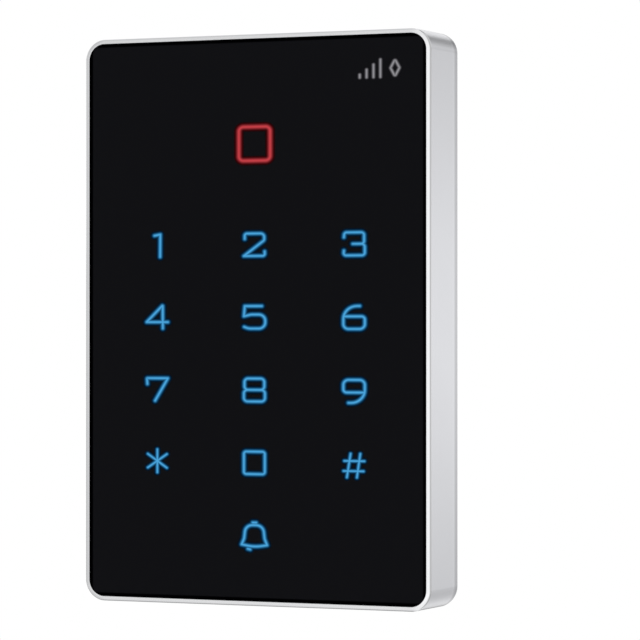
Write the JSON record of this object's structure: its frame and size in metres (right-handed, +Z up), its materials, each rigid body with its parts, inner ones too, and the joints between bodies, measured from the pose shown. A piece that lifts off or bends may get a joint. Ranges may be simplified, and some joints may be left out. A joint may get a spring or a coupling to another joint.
{
  "type": "keypad access reader",
  "caption": "Slim wall reader with a glass touch keypad, bell key and light in a metal frame, hung on a steel bracket and held by a security screw; its relay works a door lock.",
  "frame": {"origin": "on the wall plane, in the middle of the bracket's four wall holes", "axes": "+Y into the wall, so the glass faces -Y; +Z up; +X to the right as the keypad is read"},
  "size_m": [0.08, 0.0163, 0.12],
  "materials": {
    "metal_frame": "satin anodised sides with a polished front lip",
    "front_glass": "black back-printed tempered glass, glossy",
    "glass_gasket": "black adhesive foam",
    "legend_film": "printed polyester film",
    "diffuser_sheet": "milky light-spreading sheet",
    "light_baffle": "moulded black plastic",
    "main_board": "glass-fibre circuit board with green solder mask",
    "key_leds": "white surface-mount light",
    "indicator_leds": "three-colour surface-mount light",
    "status_leds": "small surface-mount light",
    "touch_springs": "gold-plated spring contact",
    "antenna_coil": "enamelled copper winding",
    "radio_module": "small black circuit board",
    "radio_shield": "tinned steel can",
    "processor_chip": "black moulded chip",
    "touch_chip": "black moulded chip",
    "memory_chip": "black moulded chip",
    "crystal_can": "plated can",
    "relay_base": "moulded base",
    "relay_case": "white moulded case",
    "relay_coil": "enamelled copper winding",
    "relay_yoke": "soft iron",
    "relay_armature": "soft iron",
    "buzzer": "black moulded case",
    "wire_connector": "ivory moulded header",
    "connector_pins": "gold-plated pin",
    "power_inductor": "ferrite block",
    "capacitors": "aluminium can",
    "voltage_regulator": "black moulded package",
    "protection_diodes": "black moulded package",
    "tamper_light_sensor": "light-dependent resistor",
    "tamper_window": "clear plastic window",
    "rear_cover": "finely textured black ABS",
    "rear_seal": "black silicone rubber",
    "cable_grommet": "black rubber",
    "cover_screws": "stainless steel",
    "board_screws": "zinc-plated steel",
    "hanger_pins": "ground steel pin",
    "wall_bracket": "zinc-plated steel sheet",
    "clinch_nut": "zinc-plated steel",
    "security_screw": "stainless steel with a pin-hex socket"
  },
  "bodies": {
    "bracket": {"wall_bracket": "wall_bracket", "clinch_nut": "clinch_nut"},
    "reader": {"metal_frame": "metal_frame", "front_glass": "front_glass", "glass_gasket": "glass_gasket", "legend_film": "legend_film", "diffuser_sheet": "diffuser_sheet", "light_baffle": "light_baffle", "main_board": "main_board", "key_leds": "key_leds", "indicator_leds": "indicator_leds", "status_leds": "status_leds", "touch_springs": "touch_springs", "antenna_coil": "antenna_coil", "radio_module": "radio_module", "radio_shield": "radio_shield", "processor_chip": "processor_chip", "touch_chip": "touch_chip", "memory_chip": "memory_chip", "crystal_can": "crystal_can", "relay_base": "relay_base", "relay_case": "relay_case", "relay_coil": "relay_coil", "relay_yoke": "relay_yoke", "buzzer": "buzzer", "wire_connector": "wire_connector", "connector_pins": "connector_pins", "power_inductor": "power_inductor", "capacitors": "capacitors", "voltage_regulator": "voltage_regulator", "protection_diodes": "protection_diodes", "tamper_light_sensor": "tamper_light_sensor", "tamper_window": "tamper_window", "rear_cover": "rear_cover", "rear_seal": "rear_seal", "cable_grommet": "cable_grommet", "cover_screws": "cover_screws", "board_screws": "board_screws", "hanger_pins": "hanger_pins"},
    "screw": {"security_screw": "security_screw"},
    "armature": {"relay_armature": "relay_armature"}
  },
  "joints": [
    {"name": "reader_swing", "type": "hinge", "parent": "bracket", "child": "reader", "pos_m": [0, -0.0024, 0.0554], "axis": [-1, 0, 0], "range_deg": [0, 12]},
    {"name": "security_screw_travel", "type": "slide", "parent": "bracket", "child": "screw", "axis": [0, 0, -1], "range_m": [0, 0.0028]},
    {"name": "relay_armature_pull", "type": "hinge", "parent": "reader", "child": "armature", "pos_m": [-0.0187, -0.00805, -0.034], "axis": [0, 0, 1], "range_deg": [0, 5], "stiffness_Nm_per_rad": 0.00001, "springref_deg": -17.19}
  ]
}
